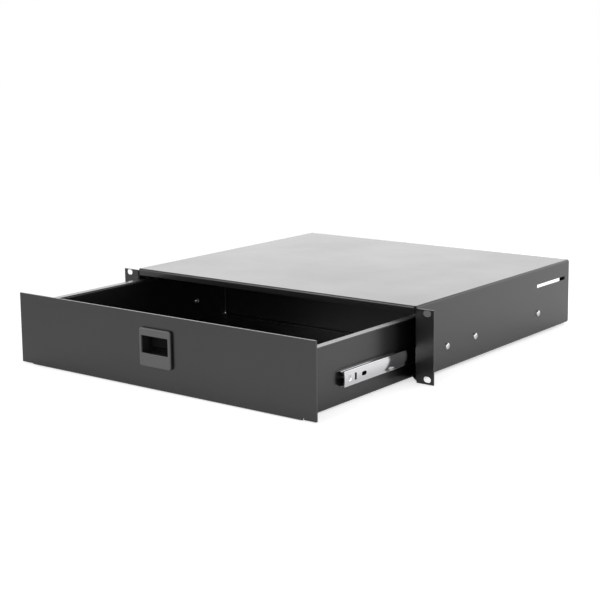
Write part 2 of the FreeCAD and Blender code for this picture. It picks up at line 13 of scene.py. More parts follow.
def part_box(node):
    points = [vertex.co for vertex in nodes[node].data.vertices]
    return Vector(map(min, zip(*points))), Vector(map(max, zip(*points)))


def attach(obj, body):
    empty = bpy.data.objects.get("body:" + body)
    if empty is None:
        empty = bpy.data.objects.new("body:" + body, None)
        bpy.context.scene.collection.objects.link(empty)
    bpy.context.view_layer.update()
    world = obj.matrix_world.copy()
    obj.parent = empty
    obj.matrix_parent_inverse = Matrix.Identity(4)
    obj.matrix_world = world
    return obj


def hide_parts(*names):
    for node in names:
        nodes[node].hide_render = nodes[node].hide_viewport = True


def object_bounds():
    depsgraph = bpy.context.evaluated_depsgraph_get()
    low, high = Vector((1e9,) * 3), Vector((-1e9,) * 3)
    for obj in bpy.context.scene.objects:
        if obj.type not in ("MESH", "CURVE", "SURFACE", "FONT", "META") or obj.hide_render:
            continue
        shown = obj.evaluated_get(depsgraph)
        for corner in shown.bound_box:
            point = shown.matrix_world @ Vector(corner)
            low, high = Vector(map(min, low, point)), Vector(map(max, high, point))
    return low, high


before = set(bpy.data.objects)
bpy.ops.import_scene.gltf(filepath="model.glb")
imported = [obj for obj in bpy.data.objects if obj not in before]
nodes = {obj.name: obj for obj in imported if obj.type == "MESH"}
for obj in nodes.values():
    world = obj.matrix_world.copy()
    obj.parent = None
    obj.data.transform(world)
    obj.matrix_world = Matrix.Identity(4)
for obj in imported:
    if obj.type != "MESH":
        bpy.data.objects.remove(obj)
cad_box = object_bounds()


# ---- camera ------------------------------------------------------------------
# A long lens, to the right of the drawer and a little above it.
camera_place = Vector((1.0287, -1.2604, 0.3554))
camera_turn = math.radians(37.756)
camera_dip = math.radians(8.904)
camera_roll = math.radians(-0.624)

camera_data = bpy.data.cameras.new("camera")
camera_data.lens = 81.22
camera_data.shift_y = -0.1
camera_data.sensor_width = 36.0
camera = bpy.data.objects.new("camera", camera_data)
bpy.context.scene.collection.objects.link(camera)
camera.matrix_world = (
    Matrix.Translation(camera_place)
    @ Matrix.Rotation(camera_turn, 4, "Z")
    @ Matrix.Rotation(math.pi / 2.0 - camera_dip, 4, "X")
    @ Matrix.Rotation(camera_roll, 4, "Z")
)
bpy.context.scene.camera = camera
bpy.context.scene.view_settings.view_transform = "Standard"


# ---- studio -------------------------------------------------------------------
# A white room with a darker ceiling, so level gloss reads white and bend lines
# read dark, a floor just under the ears, and one soft lamp at the front left.
def link_nodes(tree, *pairs):
    """Joins sockets in pairs, each as (from socket, to socket)."""
    for source, target in pairs:
        tree.links.new(source, target)


def map_range(tree, to_min, to_max, from_min=0.0, from_max=1.0):
    """Node that carries a value from one pair of limits to another."""
    made = tree.nodes.new("ShaderNodeMapRange")
    made.inputs["From Min"].default_value = from_min
    made.inputs["From Max"].default_value = from_max
    made.inputs["To Min"].default_value = to_min
    made.inputs["To Max"].default_value = to_max
    return made


def times(tree, socket, factor):
    """A socket's value times a plain number."""
    product = tree.nodes.new("ShaderNodeMath")
    product.operation = "MULTIPLY"
    product.inputs[1].default_value = factor
    tree.links.new(socket, product.inputs[0])
    return product.outputs["Value"]


def start_material(name):
    """New material, with its node tree and its surface node."""
    material = bpy.data.materials.new(name)
    material.use_nodes = True
    return material, material.node_tree, material.node_tree.nodes["Principled BSDF"]


def studio_world():
    """Even white light, but in gloss brighter low down and dark overhead."""
    world = bpy.data.worlds.new("studio")
    world.use_nodes = True
    tree = world.node_tree
    tree.nodes.clear()
    output = tree.nodes.new("ShaderNodeOutputWorld")
    direction = tree.nodes.new("ShaderNodeTexCoord")
    height = tree.nodes.new("ShaderNodeSeparateXYZ")
    ceiling = map_range(tree, to_min=1.28, to_max=0.12, from_min=0.36, from_max=0.62)
    ceiling.interpolation_type = "SMOOTHSTEP"
    gloss = tree.nodes.new("ShaderNodeBackground")
    plain = tree.nodes.new("ShaderNodeBackground")
    for light in (gloss, plain):
        light.inputs["Color"].default_value = (1.0, 1.0, 1.0, 1.0)
    plain.inputs["Strength"].default_value = 1.0
    path = tree.nodes.new("ShaderNodeLightPath")
    by_gloss = tree.nodes.new("ShaderNodeMixShader")
    link_nodes(
        tree,
        (direction.outputs["Generated"], height.inputs["Vector"]),
        (height.outputs["Z"], ceiling.inputs["Value"]),
        (ceiling.outputs["Result"], gloss.inputs["Strength"]),
        (path.outputs["Is Glossy Ray"], by_gloss.inputs["Fac"]),
        (plain.outputs["Background"], by_gloss.inputs[1]),
        (gloss.outputs["Background"], by_gloss.inputs[2]),
        (by_gloss.outputs["Shader"], output.inputs["Surface"]),
    )
    bpy.context.scene.world = world


def floor_material():
    """Matt grey floor, darker to the left as painted shade that the panel reflects, lit of itself
    so that it is near white in view.
    """
    glow_in_view = 0.58
    glow_in_gloss = 0.05
    material, tree, surface = start_material("floor")
    surface.inputs["Roughness"].default_value = 1.0
    surface.inputs["Specular IOR Level"].default_value = 0.0
    surface.inputs["Emission Color"].default_value = (1.0, 1.0, 1.0, 1.0)
    place = tree.nodes.new("ShaderNodeTexCoord")
    parts = tree.nodes.new("ShaderNodeSeparateXYZ")
    # Painted shade: the floor's colour darkens to the left, so the panel's left end reflects a
    # darker floor.
    tone = map_range(tree, to_min=0.42, to_max=0.73, from_min=-0.5, from_max=0.15)
    path = tree.nodes.new("ShaderNodeLightPath")
    glow = tree.nodes.new("ShaderNodeMath")
    glow.operation = "MULTIPLY_ADD"
    glow.inputs[1].default_value = glow_in_gloss
    link_nodes(
        tree,
        (place.outputs["Object"], parts.inputs["Vector"]),
        (parts.outputs["X"], tone.inputs["Value"]),
        (tone.outputs["Result"], surface.inputs["Base Color"]),
        (path.outputs["Is Glossy Ray"], glow.inputs[0]),
        (times(tree, path.outputs["Is Camera Ray"], glow_in_view), glow.inputs[2]),
        (glow.outputs["Value"], surface.inputs["Emission Strength"]),
    )
    return material


def lay_floor():
    """Round floor just under the object's lowest edge."""
    gap = 0.0005
    mesh = bpy.data.meshes.new("floor")
    form = bmesh.new()
    bmesh.ops.create_circle(form, cap_ends=True, segments=96, radius=9.0)
    form.to_mesh(mesh)
    form.free()
    floor = bpy.data.objects.new("floor", mesh)
    bpy.context.scene.collection.objects.link(floor)
    mesh.transform(Matrix.Translation((0.0, 0.0, cad_box[0].z - gap)))
    mesh.materials.append(floor_material())


def edge_lamp(place, target, size, power):
    """Soft square lamp that picks out the upper edges."""
    data = bpy.data.lights.new("edge_lamp", "AREA")
    data.size = size
    data.energy = power
    lamp = bpy.data.objects.new("edge_lamp", data)
    bpy.context.scene.collection.objects.link(lamp)
    lamp.location = place
    lamp.rotation_mode = "QUATERNION"
    lamp.rotation_quaternion = (Vector(target) - Vector(place)).to_track_quat("-Z", "Y")


studio_world()
lay_floor()
edge_lamp(place=(-0.95, -1.05, 1.15), target=(0.0, 0.0, 0.0), size=0.5, power=5.0)


# ---- black powder coat ----------------------------------------------------------
# Case, tray and front panel: folded steel sheet under a satin black powder coat with
# a faint orange-peel texture, glossier in patches. It is almost without a colour of
# its own, so the greys that show are the studio's reflections.
def noise_texture(tree, scale, detail):
    """Noise, scale in lumps per metre."""
    made = tree.nodes.new("ShaderNodeTexNoise")
    made.inputs["Scale"].default_value = scale
    made.inputs["Detail"].default_value = detail
    return made


def bump_node(tree, strength, distance):
    """Node that tilts the shading by a height, distance in metres."""
    made = tree.nodes.new("ShaderNodeBump")
    made.inputs["Strength"].default_value = strength
    made.inputs["Distance"].default_value = distance
    return made


def rounded_edges(tree, radius):
    """Node that rounds the edges in the shading only."""
    made = tree.nodes.new("ShaderNodeBevel")
    made.samples = 6
    made.inputs["Radius"].default_value = radius
    return made


def grey(tree, value):
    """Grey colour of one value."""
    colour = tree.nodes.new("ShaderNodeCombineColor")
    for part in ("Red", "Green", "Blue"):
        tree.links.new(value, colour.inputs[part])
    return colour.outputs["Color"]


def powder_coat(name, shade, roughness, seed):
    """Satin black powder coat, paler on its edges, partly as thin worn coat and partly as a
    painted highlight along them; seed moves its clouds about.
    """
    edge_wear_and_highlight = 0.03
    cloud_low, cloud_high = 0.3, 0.7
    material, tree, surface = start_material(name)
    place = tree.nodes.new("ShaderNodeTexCoord")
    offset = tree.nodes.new("ShaderNodeMapping")
    offset.inputs["Location"].default_value = (seed, seed * 0.37, 0.0)

    peel = noise_texture(tree, scale=620.0, detail=2.0)
    peel.inputs["Roughness"].default_value = 0.45
    bump = bump_node(tree, strength=0.35, distance=0.000006)

    rounding = rounded_edges(tree, radius=0.0006)
    facing = tree.nodes.new("ShaderNodeNewGeometry")
    turned_by = tree.nodes.new("ShaderNodeVectorMath")
    turned_by.operation = "DOT_PRODUCT"
    # Paler colour along the edges: partly thin, worn coat, partly a painted highlight on the edge
    # lines.
    edge = map_range(tree, to_min=0.0, to_max=edge_wear_and_highlight, from_min=0.99, from_max=0.82)
    edged_tone = tree.nodes.new("ShaderNodeMath")
    edged_tone.operation = "ADD"

    clouds = noise_texture(tree, scale=9.0, detail=5.0)
    gloss = map_range(tree, roughness - 0.03, roughness + 0.04, cloud_low, cloud_high)
    tone = map_range(tree, shade * 0.85, shade * 1.2, cloud_low, cloud_high)

    surface.inputs["IOR"].default_value = 1.5
    surface.inputs["Coat Weight"].default_value = 1.0
    surface.inputs["Coat Roughness"].default_value = 0.24
    surface.inputs["Coat IOR"].default_value = 1.45
    link_nodes(
        tree,
        (place.outputs["Object"], offset.inputs["Vector"]),
        (offset.outputs["Vector"], peel.inputs["Vector"]),
        (offset.outputs["Vector"], clouds.inputs["Vector"]),
        (rounding.outputs["Normal"], bump.inputs["Normal"]),
        (peel.outputs["Fac"], bump.inputs["Height"]),
        (bump.outputs["Normal"], surface.inputs["Normal"]),
        (rounding.outputs["Normal"], turned_by.inputs[0]),
        (facing.outputs["Normal"], turned_by.inputs[1]),
        (turned_by.outputs["Value"], edge.inputs["Value"]),
        (clouds.outputs["Fac"], gloss.inputs["Value"]),
        (clouds.outputs["Fac"], tone.inputs["Value"]),
        (gloss.outputs["Result"], surface.inputs["Roughness"]),
        (tone.outputs["Result"], edged_tone.inputs[0]),
        (edge.outputs["Result"], edged_tone.inputs[1]),
        (grey(tree, edged_tone.outputs["Value"]), surface.inputs["Base Color"]),
    )
    return material


def finish_node(name, material):
    """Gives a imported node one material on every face."""
    mesh = nodes[name].data
    mesh.materials.clear()
    mesh.materials.append(material)


tray_coat = powder_coat("tray_powder_coat", 0.0025, 0.34, 3.1)
finish_node("housing_shell", powder_coat("case_powder_coat", 0.005, 0.3, 0.0))
finish_node("drawer_tray", tray_coat)
finish_node("tray_front_wall", tray_coat)
finish_node("tray_rear_wall", tray_coat)
finish_node("front_panel", powder_coat("panel_powder_coat", 0.006, 0.3, 7.7))


# ---- zinc ------------------------------------------------------------------------
# Slides, cages, bolt and bracket: cold-rolled steel strip, bright zinc plated,
# with rolling marks along its length.
def colour_mix(tree, first, second):
    """Node that mixes two colours, each given as red, green and blue."""
    made = tree.nodes.new("ShaderNodeMix")
    made.data_type = "RGBA"
    made.inputs["A"].default_value = (*first, 1.0)
    made.inputs["B"].default_value = (*second, 1.0)
    return made


def zinc_plate(name, tint, roughness, grain_axis):
    """Bright zinc plate with faint rolling marks along one axis (0, 1 or 2)."""
    marks_across, marks_along = 900.0, 12.0
    material, tree, surface = start_material(name)
    place = tree.nodes.new("ShaderNodeTexCoord")
    stretch = tree.nodes.new("ShaderNodeMapping")
    scale = [marks_across] * 3
    scale[grain_axis] = marks_along
    stretch.inputs["Scale"].default_value = scale
    marks = noise_texture(tree, scale=1.0, detail=3.0)
    patches = noise_texture(tree, scale=45.0, detail=4.0)
    gloss = map_range(tree, roughness * 0.75, roughness * 1.25)
    bump = bump_node(tree, strength=0.12, distance=0.00002)
    tone = colour_mix(tree, (tint[0] * 0.92, tint[1] * 0.92, tint[2] * 0.93), tint)
    surface.inputs["Metallic"].default_value = 1.0
    link_nodes(
        tree,
        (place.outputs["Object"], stretch.inputs["Vector"]),
        (place.outputs["Object"], patches.inputs["Vector"]),
        (stretch.outputs["Vector"], marks.inputs["Vector"]),
        (marks.outputs["Fac"], bump.inputs["Height"]),
        (bump.outputs["Normal"], surface.inputs["Normal"]),
        (patches.outputs["Fac"], gloss.inputs["Value"]),
        (gloss.outputs["Result"], surface.inputs["Roughness"]),
        (patches.outputs["Fac"], tone.inputs["Factor"]),
        (tone.outputs["Result"], surface.inputs["Base Color"]),
    )
    return material


slide_zinc = zinc_plate("slide_zinc_plate", (0.96, 0.965, 0.975), 0.09, 1)
bracket_zinc = zinc_plate("bracket_zinc_plate", (0.74, 0.75, 0.76), 0.25, 2)
fastener_zinc = zinc_plate("fastener_zinc_plate", (0.90, 0.91, 0.92), 0.2, 2)
for side in ("left", "right"):
    finish_node("cabinet_slide_" + side, slide_zinc)
    finish_node("ball_cage_" + side, bracket_zinc)


# ---- drawer channels ---------------------------------------------------------------
# The slides' moving members: 1 mm strip rolled to a bowed web with rounded edges and
# a ball groove in each flange, then pierced with a slot, a long hole and two
# countersunk screw holes. They are screwed to the tray's walls.
def channel_outline(centre_line, sheet, steps):
    """Closed outline of a strip of sheet that follows a centre line, bends rounded."""
    line = []
    for index, (point, bend) in enumerate(centre_line):
        here = Vector(point)
        if bend == 0.0:
            step = 1 if index == 0 else -1
            ahead = (Vector(centre_line[index + step][0]) - here) * step
            line.append((here, ahead.normalized()))
            continue
        before = Vector(centre_line[index - 1][0]) - here
        after = Vector(centre_line[index + 1][0]) - here
        before.normalize()
        after.normalize()
        half_turn = before.angle(after) / 2.0
        reach = bend / math.tan(half_turn)
        middle = here + (before + after).normalized() * (bend / math.sin(half_turn))
        start = here + before * reach - middle
        stop = here + after * reach - middle
        first = math.atan2(start.y, start.x)
        sweep = math.atan2(stop.y, stop.x) - first
        sweep = (sweep + math.pi) % (2.0 * math.pi) - math.pi
        for step in range(steps + 1):
            turn = first + sweep * step / steps
            outward = Vector((math.cos(turn), math.sin(turn)))
            ahead = Vector((-outward.y, outward.x)) * math.copysign(1.0, sweep)
            line.append((middle + outward * bend, ahead))
    sides = ([], [])
    for here, ahead in line:
        across = Vector((-ahead.y, ahead.x)) * sheet / 2.0
        sides[0].append(here + across)
        sides[1].append(here - across)
    return sides[0] + sides[1][::-1]


def add_prism(form, outline, low, high, along, high_scale=1.0):
    """Adds a closed prism on an outline; along is 1 for Y and 0 for X."""
    middle = sum(outline, Vector((0.0, 0.0))) / len(outline)
    ends = []
    for place, scale in ((low, 1.0), (high, high_scale)):
        ring = []
        for point in outline:
            across = middle + (point - middle) * scale
            spot = (across.x, place, across.y) if along == 1 else (place, across.x, across.y)
            ring.append(form.verts.new(spot))
        ends.append(ring)
    count = len(outline)
    for index in range(count):
        following = (index + 1) % count
        form.faces.new((ends[0][index], ends[0][following], ends[1][following], ends[1][index]))
    form.faces.new(ends[0][::-1])
    form.faces.new(ends[1])


def mesh_object(name, form):
    """Object of a finished form, its faces pointing outwards."""
    bmesh.ops.recalc_face_normals(form, faces=form.faces)
    mesh = bpy.data.meshes.new(name)
    form.to_mesh(mesh)
    form.free()
    made = bpy.data.objects.new(name, mesh)
    bpy.context.scene.collection.objects.link(made)
    return made


def round_outline(centre, radius, half_straight=0.0):
    """Circle in the Y-Z plane, or an obround where half_straight is more than nothing."""
    count = 32
    outline = []
    for index in range(count):
        turn = 2.0 * math.pi * (index + 0.5) / count
        shift = half_straight if math.cos(turn) > 0.0 else -half_straight
        outline.append(Vector((centre[0] + shift + radius * math.cos(turn),
                               centre[1] + radius * math.sin(turn))))
    return outline


def channel_section(box, sheet):
    """Outline of a right-hand drawer channel's section in the X-Z plane."""
    low, high = box
    groove_depth = 0.001
    bow = 0.0005
    crown = high.x - sheet / 2.0
    web = crown - bow
    middle = (low.z + high.z) / 2.0
    rise = (high.z - low.z - sheet) / 2.0
    floor = rise - groove_depth
    # The upper half's centre line from the crown to the flange's edge, with the radius
    # of each bend: bowed web, web corner, ball groove, edge.
    upper = [
        ((crown - bow * 0.02, 0.001), 0.02), ((crown - bow * 0.18, 0.0028), 0.012),
        ((crown - bow * 0.53, 0.0048), 0.012), ((web, rise - 0.0019), 0.003),
        ((web, rise), 0.00058),
        ((0.208675, rise), 0.00056), ((0.207975, floor), 0.00058),
        ((0.205725, floor), 0.00058), ((0.205025, rise), 0.00058), ((low.x, rise), 0.0),
    ]
    upper = [((x, middle + z), bend) for (x, z), bend in upper]
    lower = [((x, 2.0 * middle - z), bend) for (x, z), bend in upper]
    return channel_outline(upper[::-1] + lower, sheet, 6)


def channel_holes(box, inside):
    """Cutters for a right-hand drawer channel's web: slot, long hole and screw holes."""
    low, high = box
    outside = high.x + 0.001
    middle = (low.z + high.z) / 2.0
    slot_half_width, slot_half_height = 0.0018, 0.004
    slot_y, long_hole_y = low.y + 0.0202, low.y + 0.036
    screw_hole_radius, countersink_spread = 0.00215, 1.9
    hole_end, sink_start, sink_end = high.x - 0.0007, high.x - 0.0008, high.x + 0.0002

    holes = bmesh.new()
    slot = [Vector((slot_y + across * slot_half_width, middle + up * slot_half_height))
            for across, up in ((-1, -1), (1, -1), (1, 1), (-1, 1))]
    add_prism(holes, slot, inside, outside, 0)
    long_hole = round_outline((long_hole_y, middle), radius=0.0023, half_straight=0.0022)
    add_prism(holes, long_hole, inside, outside, 0)
    for step in (0.0095, 0.225):
        circle = round_outline((low.y + step, middle), screw_hole_radius)
        add_prism(holes, circle, inside, hole_end, 0)
        add_prism(holes, circle, sink_start, sink_end, 0, countersink_spread)
    return holes


def drawer_channel(name, side_sign, box):
    """One drawer channel, pierced; side_sign is 1 for the right-hand one."""
    sheet = 0.001
    crease = math.radians(25.0)
    low, high = box
    strip = bmesh.new()
    add_prism(strip, channel_section(box, sheet), low.y, high.y, 1)
    channel = mesh_object(name + "_strip", strip)
    cutter = mesh_object(name + "_holes", channel_holes(box, inside=high.x - 0.004))
    pierce = channel.modifiers.new("pierce", "BOOLEAN")
    pierce.operation = "DIFFERENCE"
    pierce.solver = "EXACT"
    pierce.use_self = True
    pierce.object = cutter
    graph = bpy.context.evaluated_depsgraph_get()
    graph.update()
    mesh = bpy.data.meshes.new_from_object(channel.evaluated_get(graph), depsgraph=graph)
    bpy.data.objects.remove(channel)
    bpy.data.objects.remove(cutter)

    form = bmesh.new()
    form.from_mesh(mesh)
    bmesh.ops.remove_doubles(form, verts=form.verts, dist=1e-6)
    if side_sign < 0:
        bmesh.ops.scale(form, verts=form.verts, vec=(-1.0, 1.0, 1.0))
        bmesh.ops.reverse_faces(form, faces=form.faces)
    for face in form.faces:
        face.smooth = True
    for edge in form.edges:
        edge.smooth = edge.is_manifold and edge.calc_face_angle() < crease
    form.to_mesh(mesh)
    form.free()
    mesh.materials.clear()
    mesh.materials.append(slide_zinc)
    made = bpy.data.objects.new(name, mesh)
    bpy.context.scene.collection.objects.link(made)
    return made


right_channel_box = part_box("drawer_slide_right")
right_channel_box = (Vector(right_channel_box[0]), Vector(right_channel_box[1]))
for side, side_sign in (("right", 1), ("left", -1)):
    channel = drawer_channel("drawer_channel_" + side, side_sign, right_channel_box)
    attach(channel, "drawer")
    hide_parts("drawer_slide_" + side)


# ---- buffers ------------------------------------------------------------------------
# Black rubber blocks pressed into the rear of the case channels, which stop the
# drawer channels when the drawer is pushed shut.
def matt_black(name, shade, gloss_level, roughness, grain):
    """Dull black rubber or moulding, with a fine grain given in lumps per metre."""
    material, tree, surface = start_material(name)
    surface.inputs["Specular IOR Level"].default_value = gloss_level
    place = tree.nodes.new("ShaderNodeTexCoord")
    speck = noise_texture(tree, grain, detail=4.0)
    tone = map_range(tree, shade * 0.6, shade * 1.4)
    dullness = map_range(tree, roughness - 0.08, roughness + 0.08)
    bump = bump_node(tree, strength=0.3, distance=0.00003)
    link_nodes(
        tree,
        (place.outputs["Object"], speck.inputs["Vector"]),
        (speck.outputs["Fac"], tone.inputs["Value"]),
        (speck.outputs["Fac"], dullness.inputs["Value"]),
        (speck.outputs["Fac"], bump.inputs["Height"]),
        (grey(tree, tone.outputs["Result"]), surface.inputs["Base Color"]),
        (dullness.outputs["Result"], surface.inputs["Roughness"]),
        (bump.outputs["Normal"], surface.inputs["Normal"]),
    )
    return material


buffer_rubber = matt_black("buffer_rubber", 0.02, 0.3, 0.75, 2400.0)
for side in ("left", "right"):
    finish_node("slide_bumper_" + side, buffer_rubber)


# ---- latch --------------------------------------------------------------------------
# A flush finger latch clamped in the panel: die-cast bezel with a satin face and a
# dull pocket whose colour is darkened as painted shade, a black flap on a steel pin
# with its spring, and a zinc-plated bolt that runs in a folded bridge.
def latch_paint(face_y):
    """Satin dark grey on the bezel's face; dull in the pocket behind it, its colour darkened to
    black with depth as painted shade.
    """
    pocket_start, pocket_full = face_y + 0.0012, face_y + 0.0024
    face_roughness, pocket_roughness = 0.34, 0.95
    pocket_painted_shade = 0.003
    material, tree, surface = start_material("latch_paint")
    surface.inputs["IOR"].default_value = 1.5
    place = tree.nodes.new("ShaderNodeTexCoord")
    parts = tree.nodes.new("ShaderNodeSeparateXYZ")
    depth = map_range(tree, 0.0, 1.0, pocket_start, pocket_full)
    grain = noise_texture(tree, scale=900.0, detail=3.0)
    face_tone = map_range(tree, to_min=0.095, to_max=0.115)
    # Deeper than the face the colour fades to near black: painted shade in the pocket.
    tone = tree.nodes.new("ShaderNodeMix")
    tone.inputs["B"].default_value = pocket_painted_shade
    dullness = tree.nodes.new("ShaderNodeMix")
    dullness.inputs["A"].default_value = face_roughness
    dullness.inputs["B"].default_value = pocket_roughness
    rounding = rounded_edges(tree, radius=0.0012)
    bump = bump_node(tree, strength=0.3, distance=0.00001)
    link_nodes(
        tree,
        (place.outputs["Object"], parts.inputs["Vector"]),
        (place.outputs["Object"], grain.inputs["Vector"]),
        (parts.outputs["Y"], depth.inputs["Value"]),
        (grain.outputs["Fac"], face_tone.inputs["Value"]),
        (depth.outputs["Result"], tone.inputs["Factor"]),
        (face_tone.outputs["Result"], tone.inputs["A"]),
        (depth.outputs["Result"], dullness.inputs["Factor"]),
        (dullness.outputs["Result"], surface.inputs["Roughness"]),
        (grey(tree, tone.outputs["Result"]), surface.inputs["Base Color"]),
        (rounding.outputs["Normal"], bump.inputs["Normal"]),
        (grain.outputs["Fac"], bump.inputs["Height"]),
        (bump.outputs["Normal"], surface.inputs["Normal"]),
    )
    return material


finish_node("latch_housing", latch_paint(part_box("latch_housing")[0][1]))
finish_node("latch_trigger", matt_black("trigger_paint", 0.003, 0.08, 0.5, 1500.0))
finish_node("latch_trigger_spring", zinc_plate("oiled_spring_wire", (0.42, 0.40, 0.38), 0.3, 0))
finish_node("latch_pivot_pin", bracket_zinc)
finish_node("latch_back_plate", bracket_zinc)
finish_node("latch_bolt", bracket_zinc)


# ---- balls ---------------------------------------------------------------------
# Hardened and polished steel balls in two rows on each slide, loose in the pockets
# of the cages between the two channels.
def start_tree(name, sizes):
    """Geometry Nodes tree with named sizes, a turn and a finish as inputs, and its input node."""
    tree = bpy.data.node_groups.new(name, "GeometryNodeTree")
    kinds = [("Geometry", "NodeSocketGeometry")]
    kinds += [(size_name, "NodeSocketFloat") for size_name in sizes]
    kinds += [("Turn", "NodeSocketVector"), ("Finish", "NodeSocketMaterial")]
    for input_name, kind in kinds:
        made = tree.interface.new_socket(name=input_name, in_out="INPUT", socket_type=kind)
        if input_name in sizes:
            made.default_value = sizes[input_name]
    tree.interface.new_socket(name="Geometry", in_out="OUTPUT",
                              socket_type="NodeSocketGeometry")
    return tree, tree.nodes.new("NodeGroupInput")


def solid_boxes(name):
    """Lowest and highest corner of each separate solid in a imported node."""
    form = bmesh.new()
    form.from_mesh(nodes[name].data)
    bmesh.ops.remove_doubles(form, verts=form.verts, dist=1e-6)
    form.verts.ensure_lookup_table()
    left = set(range(len(form.verts)))
    boxes = []
    while left:
        queue = [form.verts[min(left)]]
        left.discard(queue[0].index)
        solid = []
        while queue:
            vertex = queue.pop()
            solid.append(vertex.co.copy())
            for edge in vertex.link_edges:
                other = edge.other_vert(vertex)
                if other.index in left:
                    left.discard(other.index)
                    queue.append(other)
        low = Vector([min(point[axis] for point in solid) for axis in range(3)])
        high = Vector([max(point[axis] for point in solid) for axis in range(3)])
        boxes.append((low, high))
    form.free()
    return boxes


def place_on_points(name, points, tree, values):
    """Runs a tree on bare points and returns its result as a plain mesh object."""
    mesh = bpy.data.meshes.new(name + "_points")
    mesh.from_pydata([tuple(point) for point in points], [], [])
    seed_object = bpy.data.objects.new(name + "_points", mesh)
    bpy.context.scene.collection.objects.link(seed_object)
    modifier = seed_object.modifiers.new(name, "NODES")
    modifier.node_group = tree
    for item in tree.interface.items_tree:
        if item.item_type == "SOCKET" and item.in_out == "INPUT" and item.name in values:
            modifier[item.identifier] = values[item.name]
    graph = bpy.context.evaluated_depsgraph_get()
    graph.update()
    result = bpy.data.meshes.new_from_object(seed_object.evaluated_get(graph), depsgraph=graph)
    seed_object.modifiers.remove(modifier)
    bpy.data.objects.remove(seed_object)
    piece = bpy.data.objects.new(name, result)
    bpy.context.scene.collection.objects.link(piece)
    return piece


def smooth_and_finish(tree, geometry, group_in):
    """Ends a tree: smooth faces, sharp corners, realized and given its finish."""
    realize = tree.nodes.new("GeometryNodeRealizeInstances")
    smooth = tree.nodes.new("GeometryNodeSetShadeSmooth")
    corner = tree.nodes.new("GeometryNodeInputMeshEdgeAngle")
    steep = tree.nodes.new("FunctionNodeCompare")
    steep.data_type = "FLOAT"
    steep.operation = "GREATER_THAN"
    steep.inputs["B"].default_value = math.radians(34.0)
    sharpen = tree.nodes.new("GeometryNodeSetShadeSmooth")
    sharpen.domain = "EDGE"
    sharpen.inputs["Shade Smooth"].default_value = False
    finish = tree.nodes.new("GeometryNodeSetMaterial")
    group_out = tree.nodes.new("NodeGroupOutput")
    link_nodes(
        tree,
        (geometry, realize.inputs["Geometry"]),
        (realize.outputs["Geometry"], smooth.inputs["Geometry"]),
        (smooth.outputs["Geometry"], sharpen.inputs["Geometry"]),
        (corner.outputs["Unsigned Angle"], steep.inputs["A"]),
        (steep.outputs["Result"], sharpen.inputs["Selection"]),
        (sharpen.outputs["Geometry"], finish.inputs["Geometry"]),
        (group_in.outputs["Finish"], finish.inputs["Material"]),
        (finish.outputs["Geometry"], group_out.inputs["Geometry"]),
    )


def turned_instances(tree, group_in, shape):
    """Sets a shape on every point, turned as the tree's Turn input says."""
    turn = tree.nodes.new("FunctionNodeEulerToRotation")
    place = tree.nodes.new("GeometryNodeInstanceOnPoints")
    link_nodes(
        tree,
        (group_in.outputs["Turn"], turn.inputs["Euler"]),
        (group_in.outputs["Geometry"], place.inputs["Points"]),
        (shape, place.inputs["Instance"]),
        (turn.outputs["Rotation"], place.inputs["Rotation"]),
    )
    return place.outputs["Instances"]


def ball_tree():
    """A ball on every point."""
    tree, group_in = start_tree("bearing_ball", {"Ball Radius": 0.0015})
    sphere = tree.nodes.new("GeometryNodeMeshUVSphere")
    sphere.inputs["Segments"].default_value = 24
    sphere.inputs["Rings"].default_value = 12
    tree.links.new(group_in.outputs["Ball Radius"], sphere.inputs["Radius"])
    smooth_and_finish(tree, turned_instances(tree, group_in, sphere.outputs["Mesh"]), group_in)
    return tree


def polished_steel():
    """Hardened steel, polished, with the slight haze of slide grease."""
    material, tree, surface = start_material("polished_ball_steel")
    surface.inputs["Metallic"].default_value = 1.0
    place = tree.nodes.new("ShaderNodeTexCoord")
    haze = noise_texture(tree, scale=700.0, detail=3.0)
    gloss = map_range(tree, to_min=0.04, to_max=0.16)
    tone = colour_mix(tree, (0.78, 0.78, 0.80), (0.66, 0.64, 0.60))
    link_nodes(
        tree,
        (place.outputs["Object"], haze.inputs["Vector"]),
        (haze.outputs["Fac"], gloss.inputs["Value"]),
        (haze.outputs["Fac"], tone.inputs["Factor"]),
        (gloss.outputs["Result"], surface.inputs["Roughness"]),
        (tone.outputs["Result"], surface.inputs["Base Color"]),
    )
    return material


ball_steel = polished_steel()
ball_maker = ball_tree()
for side in ("left", "right"):
    ball_boxes = solid_boxes("bearing_balls_" + side)
    ball_centres = [(low + high) / 2.0 for low, high in ball_boxes]
    ball_radius = (ball_boxes[0][1].y - ball_boxes[0][0].y) / 2.0
    balls = place_on_points("polished_balls_" + side, ball_centres, ball_maker,
                            {"Ball Radius": ball_radius, "Finish": ball_steel})
    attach(balls, "ball_cage_" + side)
    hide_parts("bearing_balls_" + side)


# ---- pan-head screws -------------------------------------------------------------
# Zinc-plated M4 screws with a domed head and a cross recess: three from outside the
# case into each case channel, two from inside the tray into each drawer channel,
# and two small ones that hold the latch's bridge.
def cylinder(tree, sides, radius, depth):
    """Closed cylinder about Z, its radius and depth taken from sockets."""
    made = tree.nodes.new("GeometryNodeMeshCylinder")
    made.inputs["Vertices"].default_value = sides
    link_nodes(tree, (radius, made.inputs["Radius"]), (depth, made.inputs["Depth"]))
    return made


def raised(tree, geometry, height):
    """Geometry moved up by a socket's value."""
    step = tree.nodes.new("ShaderNodeCombineXYZ")
    shift = tree.nodes.new("GeometryNodeTransform")
    link_nodes(
        tree,
        (height, step.inputs["Z"]),
        (geometry, shift.inputs["Geometry"]),
        (step.outputs["Vector"], shift.inputs["Translation"]),
    )
    return shift.outputs["Geometry"]


